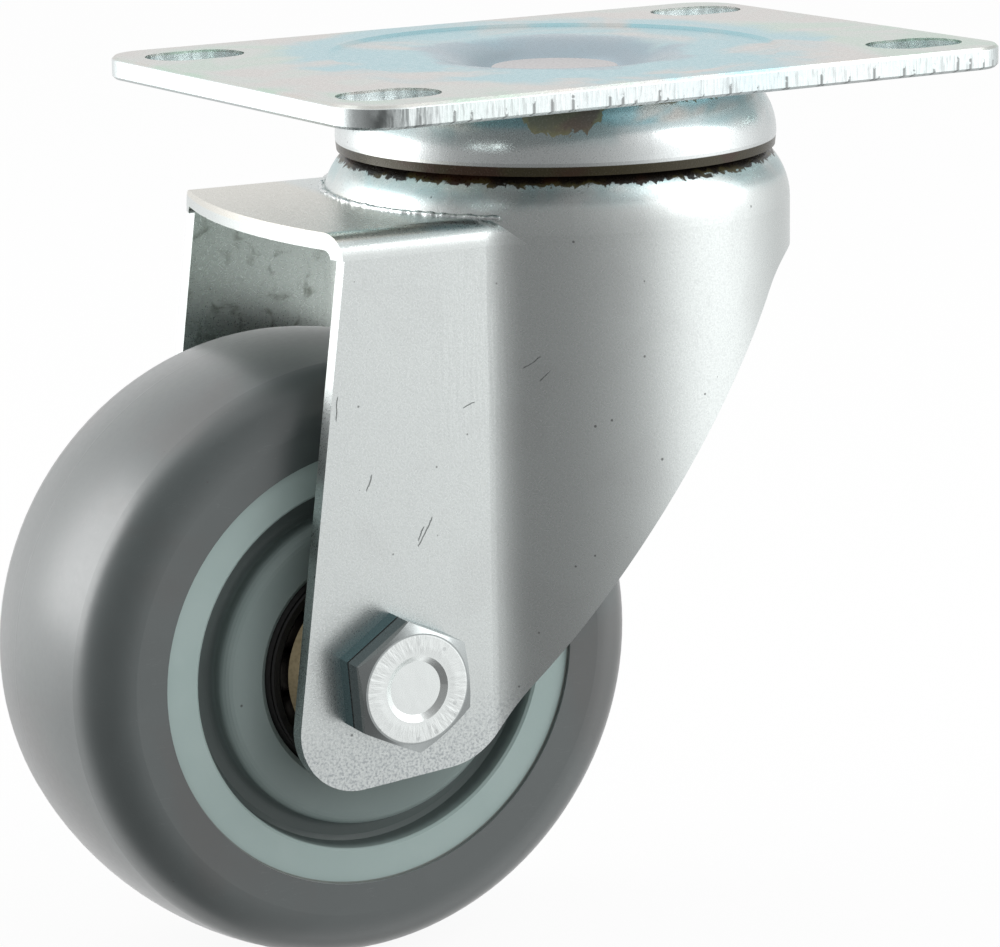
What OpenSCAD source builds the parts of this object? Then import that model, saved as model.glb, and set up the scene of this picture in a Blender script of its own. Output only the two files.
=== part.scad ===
// Castor wheel: a swivelling fork hangs from a slotted fixing plate by a double ball race.
// Sizes are in millimetres and Z is up.
// The origin is the centre of the plate's top face, on the swivel axis.
// The wheel trails towards -X and its axle lies near Y, so the near side is -Y.

/* [Fixing plate] */
// Length of the plate along X
plate_l = 92; // [88:1:110]
// Width of the plate along Y
plate_w = 64; // [62:1:80]
// Sheet thickness of the plate
plate_t = 2.7; // [2.4:0.1:3.2]
// Radius of the plate's four corners
plate_corner_r = 6; // [4:0.5:9]
// Bevel round the sheared edge of the plate
plate_edge = 0.35; // [0.2:0.05:0.6]
// Spacing of the slots along X
slot_spacing_x = 74; // [72:0.5:78]
// Spacing of the slots along Y
slot_spacing_y = 46; // [44:0.5:50]
// Width of each slot
slot_w = 8.5; // [6.5:0.1:9]
// Length of each slot along X
slot_l = 12.5; // [10:0.5:14]
// Radius of the pressed ring on the plate
ring_r = 27.5; // [26:0.5:28.5]
// Depth of the pressed ring
ring_depth = 0.3; // [0.2:0.05:0.5]
// Radius where the ring turns down into the bowl
bowl_r = 17; // [16.5:0.25:18]
// Radius of the turn from the ring into the bowl
bowl_bend_r = 10; // [9:0.25:11]
// Depth of the bowl floor below the top face
bowl_depth = 4.2; // [3.8:0.1:4.6]

/* [Ball races] */
// Outer radius of the cup under the plate
cup_r = 26.9; // [26.5:0.1:27.5]
// Radius of the turn of the cup
cup_bend_r = 8; // [7.5:0.1:8.2]
// Sheet thickness of the cup
cup_t = 1.5; // [1.2:0.1:1.6]
// Height of the cup below the plate
cup_h = 8.5; // [8:0.1:8.8]
// Diameter of the balls in both swivel races
race_ball_d = 5; // [4.6:0.1:5]
// Balls in the upper swivel race
upper_count = 26; // [20:1:26]
// Balls in the lower swivel race
lower_count = 22; // [16:1:22]
// Pitch radius of the lower swivel race
lower_pitch_r = 18.5; // [18.2:0.1:18.8]
// Shank radius of the kingpin
kingpin_r = 6; // [5:0.1:6.3]

/* [Fork] */
// Turn of fork and wheel about the swivel axis as stored
rest_angle = -3.8; // [-15:0.1:15]
// Sheet thickness of the fork
fork_t = 2; // [1.8:0.1:2.2]
// Width of the fork over its legs
fork_w = 43.2; // [42:0.1:44]
// Outer radius of the bend between deck and legs
bend_r = 3; // [2.6:0.1:3.5]
// Depth of the deck's top below the plate's top
deck_drop = 16.1; // [15.8:0.1:16.5]
// Rise of the crown above the deck
crown_rise = 6.5; // [6.3:0.05:6.5]
// Outer radius of the crown's turn
crown_bend_r = 8.5; // [8.2:0.1:8.8]
// Outer radius of the skirt round the crown
skirt_r = 28.5; // [28:0.1:28.8]
// Radius of the hollow blend from leg to skirt
blend_r = 8; // [7:0.5:10]
// Reach of the leg's front edge ahead of the swivel axis, at the bend
front_reach = 39.5; // [38:0.1:41]
// Lean of the leg's front edge
front_angle = 7.4; // [5:0.2:9]
// How far the deck's front edge bows out
deck_bow = 3.5; // [2:0.25:4.5]
// Slope of the leg's rear edge
rear_angle = 53.7; // [50:0.5:57]
// Distance from the axle to the leg's rear edge
rear_margin = 15.9; // [15.5:0.1:18]
// Distance from the axle down to the leg's foot
foot_margin = 12.5; // [12:0.1:14]
// Rise of the foot's edge towards the rear
foot_angle = 4.4; // [0:0.1:5]
// Radius of the foot's front corner
foot_front_r = 7.5; // [5:0.5:9]
// Radius of the foot's rear corner
foot_rear_r = 9; // [6:0.5:11]
// Depth of the skirt's lower edge below the plate's top
skirt_drop = 23.8; // [22:0.2:26]
// Radius between the rear edge and the skirt's lower edge
armpit_r = 9; // [5:0.5:12]

/* [Wheel] */
// Wheel diameter
wheel_d = 74.6; // [74:0.2:75.4]
// Width of the tread
wheel_w = 32; // [31.5:0.25:32.5]
// Offset of the axle behind the swivel axis
trail = 34.2; // [33.5:0.1:35]
// Depth of the axle below the plate's top
axle_drop = 68.75; // [68:0.25:70]
// Radius of the tread's shoulders
shoulder_r = 6; // [5:0.25:6.5]
// Drop from the tread's crown to the top of its side wall
crown_drop = 7; // [6.8:0.1:7.8]
// Outer radius of the core's face
core_r = 26.5; // [26:0.1:27.5]
// Outer radius of the groove in the core's face
groove_r = 22.3; // [21.8:0.1:22.8]
// Outer radius of the hub's face
hub_r = 19.4; // [19:0.1:20]
// Depth of the groove in the core's face
groove_depth = 3; // [2:0.1:3.5]

/* [Wheel bearings] */
// Outside diameter of the bearing
bearing_d = 27.8; // [27.4:0.1:28.4]
// Pitch radius of the wheel balls
ball_pitch_r = 10.45; // [10.3:0.05:10.5]
// Diameter of the wheel balls
wheel_ball_d = 5; // [4.6:0.1:5]
// Balls in each wheel bearing
wheel_ball_count = 12; // [9:1:12]
// Largest radius of the inner race's collar
collar_r = 11; // [10.4:0.1:11.2]

/* [Axle] */
// Thread diameter of the axle bolt
bolt_d = 8; // [7.5:0.1:8]
// Outside diameter of the axle sleeve
sleeve_d = 12; // [11.6:0.1:12]
// Size across the flats of bolt head and nut
hex_af = 13.8; // [13:0.1:14]
// Height of the bolt head
head_h = 5.5; // [4.5:0.1:6]
// Turn of the bolt head about the axle
head_angle = 34.5; // [0:0.1:60]
// Height of the lock nut
nut_h = 8; // [7:0.1:9]

/* [Hidden] */
$fn = 144;

// Clearances
run_gap = 0.05; // a ball and its race
slip_gap = 0.1; // a shank and its hole
bolt_gap = 0.2; // the bolt and the holes it passes
fit_gap = 0.02; // a race and the sleeve it sits on
through = 1; // how far a cutter runs past the surface it opens

// Plate and bowl
floor_z = -bowl_depth;
bowl_under_z = floor_z - plate_t;
ring_under_z = -ring_depth - plate_t;
bowl_bend_z = -ring_depth - bowl_bend_r;
ring_step_w = 0.6; // width of the slope at the ring's edge

// Cup and upper race
cup_sink = 1; // how far the cup's round top is cut flat by the plate
cup_bend_c = [cup_r - cup_bend_r - run_gap, ring_under_z - cup_bend_r + cup_sink];
cup_rim_z = ring_under_z - cup_h;
cup_ceiling_z = ring_under_z - cup_t;
cup_mouth_flare = 0.6;
cup_mouth_draw = 0.15; // how far the cup draws in at its mouth
cup_bore_r = bowl_r + slip_gap;

// Crown of the fork
deck_z = -deck_drop;
crown_z = deck_z + crown_rise;
crown_bend_c = [skirt_r - crown_bend_r, crown_z - crown_bend_r];
crown_hole_r = 15.3;

// Balls of the swivel
race_ball_r = race_ball_d / 2;
race_groove_r = race_ball_r + run_gap;
upper_ball_c = circle_hit(cup_bend_c, cup_bend_r - cup_t - race_groove_r,
  crown_bend_c, crown_bend_r + race_groove_r);
lower_ball_c = [lower_pitch_r, crown_z - fork_t - race_groove_r];

// Lower race
lower_wall_out = 14.6;
lower_wall_t = 2;
lower_flange_r = 22;
lower_lip = 0.6; // height of the flange above the bottom of its groove
lower_floor_t = 1.9;
lower_disc_t = 2;
lower_edge = 0.8; // bevel at the top of the wall
lower_flange_z = lower_ball_c[1] - race_groove_r + lower_lip;
lower_base_z = lower_flange_z - lower_lip - lower_floor_t;
lower_disc_z = bowl_under_z - lower_disc_t;

// Kingpin
kingpin_head_r = 8;
kingpin_head_h = 2.2;
kingpin_foot_r = 9;
kingpin_foot_h = 2.6;
kingpin_edge = 0.4;
kingpin_foot_edge = 1.5;

// Fork
leg_half = fork_w / 2;
bend_z = deck_z - bend_r;
fork_base_z = -axle_drop - foot_margin - foot_front_r;
fork_nose = 20; // how far the raw fork runs ahead of its trimmed front
blend_y = leg_half + blend_r;
blend_x = -sqrt(pow(skirt_r + blend_r, 2) - pow(blend_y, 2));
axle_at = [-trail, -axle_drop];
front_top = [-front_reach, bend_z];
front_dir = -90 - front_angle;
foot_at = axle_at + [0, -foot_margin];
rear_at = axle_at + rear_margin * [sin(rear_angle), -cos(rear_angle)];
foot_front = line_hit(front_top, front_dir, foot_at, foot_angle);
foot_rear = line_hit(rear_at, rear_angle, foot_at, foot_angle);
armpit = line_hit(rear_at, rear_angle, [0, -skirt_drop], 0);
skirt_end = [skirt_r + armpit_r, -skirt_drop];
bow_r = (pow(leg_half, 2) + pow(deck_bow, 2)) / (2 * deck_bow);
bow_lead = 0.2; // how far the deck's edge leads the legs at the bend
bow_x = -front_reach - bow_lead - deck_bow + bow_r;

// Wheel, with how far its faces lie below the tread's side
rim_sink = 0.2;
rim_cover = 3.2;
core_sink = 0.55;
hub_sink = 0.1;
wheel_r = wheel_d / 2;
half_w = wheel_w / 2;
side_r = wheel_r - crown_drop;
shoulder_c = [side_r, half_w - shoulder_r];
tread_r = (pow(shoulder_c[1], 2) + pow(crown_drop, 2) - pow(shoulder_r, 2))
  / (2 * (crown_drop - shoulder_r));
tread_c = [wheel_r - tread_r, 0];
tread_end = tread_c + (shoulder_c - tread_c) * tread_r / (tread_r - shoulder_r);
core_rim_r = side_r - rim_sink;
core_rim_half = half_w - rim_cover;
core_face = half_w - core_sink;
hub_face = half_w - hub_sink;
hub_edge_r = 1.6; // rounding of the hub's face
groove_floor_r = 1; // rounding at the inside of the groove's floor
groove_edge = 0.3; // bevel at the groove's outer edges
groove_wall = 0.9; // width of the groove's outer wall
seat_edge = 0.6; // bevel at the mouth of the bearing's seat
bearing_r = bearing_d / 2;

// Bearings, measured outwards from the middle of the wheel
ball_r = wheel_ball_d / 2;
ball_groove_r = ball_r + run_gap;
race_depth = 7.7; // length of the outer race
race_wall = 1.1; // shoulder that the race rests on
shield_t = 0.9;
shield_edge = 0.2;
shield_seat = 0.7; // wall of the race round the shield
shield_gap = 1.05; // the shield and the collar inside it
rim_drop = 0.6; // the race's rim below its face
rim_edge = 0.5; // bevel of the race's rim
race_lip = 0.6; // how far each race reaches round its balls
collar_sink = 0.3; // where the collar starts, below the race's face
race_out = hub_face;
race_in = race_out - race_depth;
race_mouth = race_out - shield_t;
race_rim = race_out - rim_drop;
race_lip_r = ball_pitch_r + ball_groove_r - race_lip;
shield_r = bearing_r - shield_seat;
shield_in_r = collar_r + shield_gap;
ball_at = (race_in + race_mouth) / 2;
seat_r = bearing_r - race_wall;
inner_groove_r = ball_pitch_r - ball_groove_r;
inner_r = inner_groove_r + 1.5 * race_lip;
collar_in = race_out - collar_sink;
leg_in = leg_half - fork_t;
collar_flare = collar_r - inner_r;
collar_bend_r = (pow(collar_flare, 2) + pow(leg_in - collar_in, 2)) / (2 * collar_flare);

// Bolt and nut
bolt_r = bolt_d / 2;
sleeve_r = sleeve_d / 2;
hex_r = hex_af / 2 / cos(30);
head_out = leg_half + head_h;
nut_out = leg_half + nut_h;
nut_collar_r = 6;
nut_collar_h = 2;
nut_edge = 0.5;
nut_hex_h = nut_h - nut_collar_h;
insert_r = 5.2;
insert_h = 1.8;
insert_sink = 0.3;
bolt_tip = 0.8;
bolt_end = nut_out + 2 * bolt_tip;
head_edge_w = 1.3; // depth of the bevel round the head's face
face_edge = 0.3; // how far the round faces of head and nut lie inside the flats
hex_face_r = hex_af / 2 - face_edge;
dish_r = 4;
dish_depth = 0.5;
dish_edge = 0.8;

// Point where two circles meet, taking the meeting point farther from the axis
function circle_hit(a, ra, b, rb) =
  let (d = norm(b - a), u = (b - a) / d, k = (ra * ra - rb * rb + d * d) / (2 * d))
  a + k * u + sqrt(ra * ra - k * k) * [-u[1], u[0]];

// Point where two lines meet, each given by a point and an angle
function line_hit(p, a, q, b) =
  let (u = [cos(a), sin(a)], v = [cos(b), sin(b)])
  p + u * cross(q - p, v) / cross(u, v);

function unit(v) = v / norm(v);

// Half the angle of the corner at p between the ways to a and b
function half_angle(p, a, b) = acos(unit(a - p) * unit(b - p)) / 2;

// Point on the way from p to a where a rounding of radius r starts
function round_start(p, a, b, r) = p + unit(a - p) * r / tan(half_angle(p, a, b));

// Centre of a rounding of radius r at the corner p
function round_centre(p, a, b, r) =
  p + unit(unit(a - p) + unit(b - p)) * r / sin(half_angle(p, a, b));

// Points along an arc
function arc(c, r, a, b, n = 6) =
  [for (i = [0:n]) c + r * [cos(a + (b - a) * i / n), sin(a + (b - a) * i / n)]];

// A rectangle given by two corners
module box2(a, b) {
  translate(a)
    square(b - a);
}

// Fixing plate

// Outline of a bevelled sheet edge, reaching out to x = r
module edge_section(r) {
  polygon([[0, 0], [r - plate_edge, 0], [r, -plate_edge], [r, plate_edge - plate_t],
    [r - plate_edge, -plate_t], [0, -plate_t]]);
}

// Flat sheet with four round corners
module plate_blank() {
  corner_x = plate_l / 2 - plate_corner_r;
  corner_y = plate_w / 2 - plate_corner_r;
  for (side = [0, 180])
    rotate(side) {
      translate([0, corner_y, 0])
        rotate([90, 0, 0])
          linear_extrude(2 * corner_y)
            edge_section(plate_l / 2);
      translate([-corner_x, 0, 0])
        rotate([90, 0, 90])
          linear_extrude(2 * corner_x)
            edge_section(plate_w / 2);
    }
  for (x = [-corner_x, corner_x], y = [-corner_y, corner_y])
    translate([x, y, 0])
      rotate_extrude()
        edge_section(plate_corner_r);
}

// Pressed ring and bowl, as the space they take above the sheet
module press_top() {
  polygon([[0, through], [0, -ring_depth], [ring_r - ring_step_w, -ring_depth], [ring_r, 0],
    [ring_r, through]]);
  difference() {
    box2([0, floor_z], [bowl_r, 0]);
    translate([bowl_r, bowl_bend_z])
      circle(bowl_bend_r);
  }
}

// The same pressing seen from below, as the metal it pushes down
module press_under() {
  polygon([[0, -through], [0, ring_under_z], [ring_r, ring_under_z],
    [ring_r + ring_step_w, -plate_t], [ring_r + ring_step_w, -through]]);
  difference() {
    box2([0, bowl_under_z], [bowl_r, -through]);
    translate([bowl_r, bowl_bend_z])
      circle(bowl_bend_r - plate_t);
  }
}

// One fixing slot, long along X
module slot_cut() {
  run = slot_l - slot_w;
  for (x = [-run / 2, run / 2])
    translate([x, 0, -plate_t - through])
      cylinder(r = slot_w / 2, h = plate_t + 2 * through);
  translate([-run / 2, -slot_w / 2, -plate_t - through])
    cube([run, slot_w, plate_t + 2 * through]);
}

module top_plate() {
  color([0.72, 0.70, 0.68])
    difference() {
      union() {
        plate_blank();
        rotate_extrude()
          press_under();
      }
      rotate_extrude()
        press_top();
      for (x = [-slot_spacing_x / 2, slot_spacing_x / 2], y = [-slot_spacing_y / 2, slot_spacing_y / 2])
        translate([x, y, 0])
          slot_cut();
      translate([0, 0, bowl_under_z - through])
        cylinder(r = kingpin_r + slip_gap, h = plate_t + 2 * through);
    }
}

// Ball races

// Section of the cup's outside or inside, rounded about the same centre
module cup_profile(r, top, mouth_r) {
  c = cup_bend_c;
  box2([0, cup_rim_z - through], [c[0] + r / 4, top]);
  intersection() {
    translate(c)
      circle(r);
    box2(c, [c[0] + r, top]);
  }
  polygon([[c[0], c[1] + r / 2], [c[0] + r, c[1]], [mouth_r, cup_rim_z],
    [mouth_r, cup_rim_z - through], [c[0], cup_rim_z - through]]);
}

module race_cup() {
  inner_r = cup_bend_r - cup_t;
  color([0.75, 0.77, 0.78])
    rotate_extrude()
      difference() {
        intersection() {
          cup_profile(cup_bend_r, ring_under_z, cup_bend_c[0] + cup_bend_r - cup_mouth_draw);
          box2([cup_bore_r, cup_rim_z], [cup_r + through, ring_under_z]);
        }
        cup_profile(inner_r, cup_ceiling_z, cup_bend_c[0] + inner_r + cup_mouth_flare);
      }
}

module lower_race() {
  color([0.62, 0.62, 0.62])
    rotate_extrude()
      difference() {
        union() {
          polygon([[kingpin_r + slip_gap, bowl_under_z], [kingpin_r + slip_gap, lower_disc_z],
            [lower_wall_out - lower_wall_t, lower_disc_z], [lower_wall_out - lower_wall_t, lower_base_z],
            [lower_wall_out, lower_base_z], [lower_wall_out, bowl_under_z - lower_edge],
            [lower_wall_out - lower_edge, bowl_under_z]]);
          box2([lower_wall_out - lower_wall_t, lower_base_z], [lower_flange_r, lower_flange_z]);
        }
        translate(lower_ball_c)
          circle(race_groove_r);
      }
}

module kingpin() {
  head_z = floor_z + kingpin_head_h;
  foot_z = lower_disc_z - kingpin_foot_h;
  color([0.68, 0.64, 0.63])
    rotate_extrude()
      polygon([[0, head_z], [kingpin_head_r - kingpin_edge, head_z],
        [kingpin_head_r, head_z - kingpin_edge], [kingpin_head_r, floor_z], [kingpin_r, floor_z],
        [kingpin_r, lower_disc_z], [kingpin_foot_r, lower_disc_z],
        [kingpin_foot_r, foot_z + kingpin_foot_h / 2], [kingpin_foot_r - kingpin_foot_edge, foot_z],
        [0, foot_z]]);
}

// A ring of balls about Z, with their centres at radius c.x and height c.y
module ball_ring(c, r, count) {
  for (i = [0:count - 1])
    rotate(i * 360 / count)
      translate([c[0], 0, c[1]])
        sphere(r, $fn = 36);
}

module upper_balls() {
  color([0.8, 0.8, 0.82])
    ball_ring(upper_ball_c, race_ball_r, upper_count);
}

module lower_balls() {
  color([0.8, 0.8, 0.82])
    ball_ring(lower_ball_c, race_ball_r, lower_count);
}

// Fork

// Section of deck and legs across the fork, drawn as a solid block
module leg_section(inset) {
  half = leg_half - inset;
  top = deck_z - inset;
  bend = bend_r - inset;
  base = fork_base_z - inset;
  polygon([[-half, base], [-half, top - bend], [bend - half, top], [half - bend, top],
    [half, top - bend], [half, base]]);
  for (y = [bend - half, half - bend])
    translate([y, top - bend])
      circle(bend);
}

// Section of crown and skirt about the swivel axis
module crown_section(inset) {
  base = fork_base_z - inset;
  box2([0, base], [skirt_r - inset, crown_bend_c[1]]);
  box2([0, base], [crown_bend_c[0], crown_z - inset]);
  translate(crown_bend_c)
    circle(crown_bend_r - inset);
}

// Block between leg and skirt on the near side, hollowed to the blend radius
module blend_block(inset) {
  half = leg_half - inset;
  base = fork_base_z - inset;
  top = deck_z - inset;
  bend = bend_r - inset;
  hollow = blend_r + inset;
  centre = [blend_x, -blend_y];
  difference() {
    translate([0, 0, base])
      linear_extrude(top - base)
        polygon([[blend_x, bend - half], [blend_x, -half], unit(centre) * (skirt_r - inset), [0, 0]]);
    translate([blend_x, -blend_y, 0])
      rotate_extrude()
        difference() {
          box2([0, base - through], [hollow + bend, top + through]);
          box2([hollow, base - 2 * through], [hollow + bend + through, top - bend]);
          translate([hollow + bend, top - bend])
            circle(bend);
        }
  }
}

// The fork as a solid block, set in from its outer faces
module fork_block(inset) {
  half = leg_half - inset;
  base = fork_base_z - inset;
  top = deck_z - inset;
  bend = bend_r - inset;
  translate([blend_x, 0, 0])
    rotate([90, 0, -90])
      linear_extrude(front_reach + fork_nose + blend_x + inset)
        leg_section(inset);
  translate([blend_x, bend - half, base])
    cube([-blend_x, 2 * (half - bend), top - base]);
  rotate_extrude()
    crown_section(inset);
  blend_block(inset);
  mirror([0, 1, 0])
    blend_block(inset);
}

// Side outline of the fork in X and Z
module side_outline() {
  top = [-front_reach - fork_nose, 0];
  difference() {
    union() {
      polygon([top, [top[0], bend_z], front_top,
        round_start(foot_front, front_top, foot_rear, foot_front_r),
        round_start(foot_front, foot_rear, front_top, foot_front_r),
        round_start(foot_rear, foot_front, armpit, foot_rear_r),
        round_start(foot_rear, armpit, foot_front, foot_rear_r),
        round_start(armpit, foot_rear, skirt_end, armpit_r),
        round_start(armpit, skirt_end, foot_rear, armpit_r),
        skirt_end, [skirt_end[0], 0]]);
      translate(round_centre(foot_front, front_top, foot_rear, foot_front_r))
        circle(foot_front_r);
      translate(round_centre(foot_rear, foot_front, armpit, foot_rear_r))
        circle(foot_rear_r);
    }
    translate(round_centre(armpit, foot_rear, skirt_end, armpit_r))
      circle(armpit_r);
  }
}

// Everything ahead of the deck's bowed front edge
module deck_front_cut() {
  difference() {
    translate([-front_reach - fork_nose - through, -leg_half - through, bend_z - 2 * bow_lead])
      cube([fork_nose + 2 * bend_r, fork_w + 2 * through, 3 * bend_r]);
    translate([bow_x, 0, bend_z - through])
      cylinder(r = bow_r, h = 3 * bend_r + 2 * through);
  }
}

// Carries a part drawn about Z to the axle of a fork that isn't turned
module to_axle() {
  translate([-trail, 0, -axle_drop])
    rotate([90, 0, 0])
      children();
}

module fork() {
  color([0.74, 0.77, 0.77])
    rotate(rest_angle)
      difference() {
        intersection() {
          fork_block(0);
          translate([0, skirt_r + through, 0])
            rotate([90, 0, 0])
              linear_extrude(2 * (skirt_r + through))
                side_outline();
        }
        fork_block(fork_t);
        deck_front_cut();
        translate([0, 0, crown_z - fork_t - through])
          cylinder(r = crown_hole_r, h = fork_t + 2 * through);
        to_axle()
          translate([0, 0, -leg_half - through])
            cylinder(r = bolt_r + bolt_gap, h = fork_w + 2 * through);
      }
}

// Wheel

// Places a part drawn about Z on the axle of the turned fork, its +Z on the near side
module on_axle() {
  rotate(rest_angle)
    to_axle()
      children();
}

// The twin of a part of the near side
module far_twin() {
  mirror([0, 0, 1])
    children();
}

// One half of the core's section, from the middle of the wheel outwards
module core_half() {
  difference() {
    union() {
      box2([seat_r, 0], [core_rim_r, core_rim_half]);
      box2([seat_r, 0], [core_r, core_face]);
      box2([seat_r, 0], [hub_r, hub_face]);
    }
    box2([0, race_in], [bearing_r, half_w + through]);
    polygon([[bearing_r - fit_gap, hub_face - seat_edge], [bearing_r + seat_edge, hub_face],
      [bearing_r + seat_edge, hub_face + through], [bearing_r - fit_gap, hub_face + through]]);
    polygon(concat(
      arc([hub_r - hub_edge_r, hub_face - hub_edge_r], hub_edge_r, 90, 0),
      arc([hub_r + groove_floor_r, core_face - groove_depth + groove_floor_r], groove_floor_r, 180, 270),
      [[groove_r - groove_wall, core_face - groove_depth],
        [groove_r - groove_edge, core_face - groove_depth + groove_edge],
        [groove_r, core_face - groove_edge], [groove_r + groove_edge, core_face],
        [groove_r + groove_edge, half_w + through], [hub_r - hub_edge_r, half_w + through]]));
  }
}

module wheel_core() {
  color([0.62, 0.68, 0.66])
    on_axle()
      rotate_extrude() {
        core_half();
        mirror([0, 1])
          core_half();
      }
}

module tread() {
  color([0.42, 0.45, 0.46])
    on_axle()
      rotate_extrude()
        difference() {
          union() {
            box2([core_r, -half_w], [side_r, half_w]);
            for (y = [-shoulder_c[1], shoulder_c[1]])
              translate([side_r, y])
                circle(shoulder_r);
            intersection() {
              translate(tread_c)
                circle(tread_r, $fn = 720);
              box2([side_r, -tread_end[1]], [wheel_r + through, tread_end[1]]);
            }
          }
          box2([0, -half_w - through], [core_r, half_w + through]);
          box2([0, -core_rim_half], [core_rim_r, core_rim_half]);
        }
}

// Bearings

module bearing_outer() {
  rotate_extrude()
    difference() {
      polygon([[race_lip_r, race_in], [bearing_r, race_in], [bearing_r, race_rim - rim_edge],
        [shield_r, race_rim], [shield_r, race_mouth], [race_lip_r, race_mouth]]);
      translate([ball_pitch_r, ball_at])
        circle(ball_groove_r);
    }
}

module bearing_outer_near() {
  color([0.3, 0.3, 0.3])
    on_axle()
      bearing_outer();
}

module bearing_outer_far() {
  color([0.3, 0.3, 0.3])
    on_axle()
      far_twin()
        bearing_outer();
}

// Pressed ring closing the mouth of the outer race
module bearing_shield() {
  rotate_extrude()
    polygon([[shield_in_r, race_mouth], [shield_r, race_mouth], [shield_r, race_out - shield_edge],
      [shield_r - shield_edge, race_out], [shield_in_r + shield_edge, race_out],
      [shield_in_r, race_out - shield_edge]]);
}

module bearing_shield_near() {
  color([0.12, 0.12, 0.12])
    on_axle()
      bearing_shield();
}

module bearing_shield_far() {
  color([0.12, 0.12, 0.12])
    on_axle()
      far_twin()
        bearing_shield();
}

// Inner race with the collar that reaches the leg
module bearing_inner() {
  rotate_extrude()
    difference() {
      union() {
        box2([sleeve_r + fit_gap, race_in], [inner_r, leg_in]);
        difference() {
          box2([inner_r - fit_gap, collar_in], [collar_r, leg_in]);
          translate([inner_r + collar_bend_r, leg_in])
            circle(collar_bend_r);
        }
      }
      translate([ball_pitch_r, ball_at])
        circle(ball_groove_r);
    }
}

module bearing_inner_near() {
  color([0.7, 0.6, 0.38])
    on_axle()
      bearing_inner();
}

module bearing_inner_far() {
  color([0.7, 0.6, 0.38])
    on_axle()
      far_twin()
        bearing_inner();
}

module bearing_balls() {
  ball_ring([ball_pitch_r, ball_at], ball_r, wheel_ball_count);
}

module bearing_balls_near() {
  color([0.8, 0.8, 0.82])
    on_axle()
      bearing_balls();
}

module bearing_balls_far() {
  color([0.8, 0.8, 0.82])
    on_axle()
      far_twin()
        bearing_balls();
}

// Axle

module axle_sleeve() {
  color([0.66, 0.66, 0.64])
    on_axle()
      translate([0, 0, -leg_in])
        difference() {
          cylinder(r = sleeve_r, h = 2 * leg_in);
          translate([0, 0, -through])
            cylinder(r = bolt_r + slip_gap, h = 2 * (leg_in + through));
        }
}

module axle_bolt() {
  color([0.8, 0.82, 0.82])
    on_axle()
      difference() {
        union() {
          intersection() {
            translate([0, 0, leg_half])
              rotate(head_angle)
                cylinder(r = hex_r, h = head_h, $fn = 6);
            translate([0, 0, leg_half - through])
              rotate_extrude()
                polygon([[0, 0], [hex_r + through, 0], [hex_r + through, head_h + through - head_edge_w],
                  [hex_face_r, head_h + through], [0, head_h + through]]);
          }
          rotate_extrude()
            polygon([[0, leg_half + head_h / 2], [bolt_r, leg_half + head_h / 2],
              [bolt_r, bolt_tip - bolt_end], [bolt_r - bolt_tip, -bolt_end], [0, -bolt_end]]);
        }
        translate([0, 0, head_out - dish_depth])
          cylinder(r1 = dish_r - dish_edge, r2 = dish_r, h = dish_depth + fit_gap);
      }
}

module axle_nut() {
  color([0.8, 0.82, 0.82])
    on_axle()
      difference() {
        union() {
          intersection() {
            translate([0, 0, -leg_half - nut_hex_h])
              rotate(head_angle)
                cylinder(r = hex_r, h = nut_hex_h, $fn = 6);
            translate([0, 0, -leg_half - nut_hex_h])
              cylinder(r1 = hex_face_r, r2 = hex_face_r + 2 * nut_hex_h, h = nut_hex_h);
          }
          translate([0, 0, -nut_out])
            cylinder(r1 = nut_collar_r - nut_edge, r2 = nut_collar_r, h = nut_h / 2);
        }
        translate([0, 0, -nut_out - through])
          cylinder(r = bolt_r + fit_gap, h = nut_h + 2 * through);
        translate([0, 0, -nut_out - through])
          cylinder(r = insert_r, h = insert_h + through);
      }
}

module nut_insert() {
  color([0.85, 0.86, 0.82])
    on_axle()
      translate([0, 0, insert_sink - nut_out])
        difference() {
          cylinder(r = insert_r, h = insert_h - insert_sink);
          translate([0, 0, -through])
            cylinder(r = bolt_r + fit_gap, h = insert_h + 2 * through);
        }
}

top_plate();
race_cup();
lower_race();
kingpin();
upper_balls();
lower_balls();
fork();
wheel_core();
tread();
bearing_outer_near();
bearing_outer_far();
bearing_shield_near();
bearing_shield_far();
bearing_inner_near();
bearing_inner_far();
bearing_balls_near();
bearing_balls_far();
axle_sleeve();
axle_bolt();
axle_nut();
nut_insert();
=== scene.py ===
"""Finishes, fine pieces, light and camera for a plate castor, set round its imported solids.

Lengths are in metres unless a name ends in _mm. The castor hangs under the origin and its wheel trails
towards -X. The fork is stored turned a little about Z, so the axle lies near Y.
"""

import logging
import math
from dataclasses import dataclass, field
from enum import Enum

import bmesh
import bpy
from mathutils import Matrix, Vector, noise


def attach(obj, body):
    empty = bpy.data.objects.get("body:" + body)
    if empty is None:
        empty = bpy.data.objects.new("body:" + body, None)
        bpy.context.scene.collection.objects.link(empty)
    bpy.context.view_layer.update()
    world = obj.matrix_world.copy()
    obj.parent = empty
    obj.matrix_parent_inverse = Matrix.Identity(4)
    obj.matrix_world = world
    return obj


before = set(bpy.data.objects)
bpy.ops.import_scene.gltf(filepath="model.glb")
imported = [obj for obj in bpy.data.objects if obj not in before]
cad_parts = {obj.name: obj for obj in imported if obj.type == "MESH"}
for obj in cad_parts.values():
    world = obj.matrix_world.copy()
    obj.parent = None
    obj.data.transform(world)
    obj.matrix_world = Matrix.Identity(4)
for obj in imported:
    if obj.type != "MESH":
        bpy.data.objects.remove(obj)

LOG = logging.getLogger("castor")
MM = 0.001
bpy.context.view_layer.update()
FORK_TURN_DEG = -3.8
TRAIL_MM = 34.2
AXLE_DROP_MM = 68.75

Color = tuple[float, float, float]
Socket = bpy.types.NodeSocket
Value = float | Color | Socket


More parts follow.
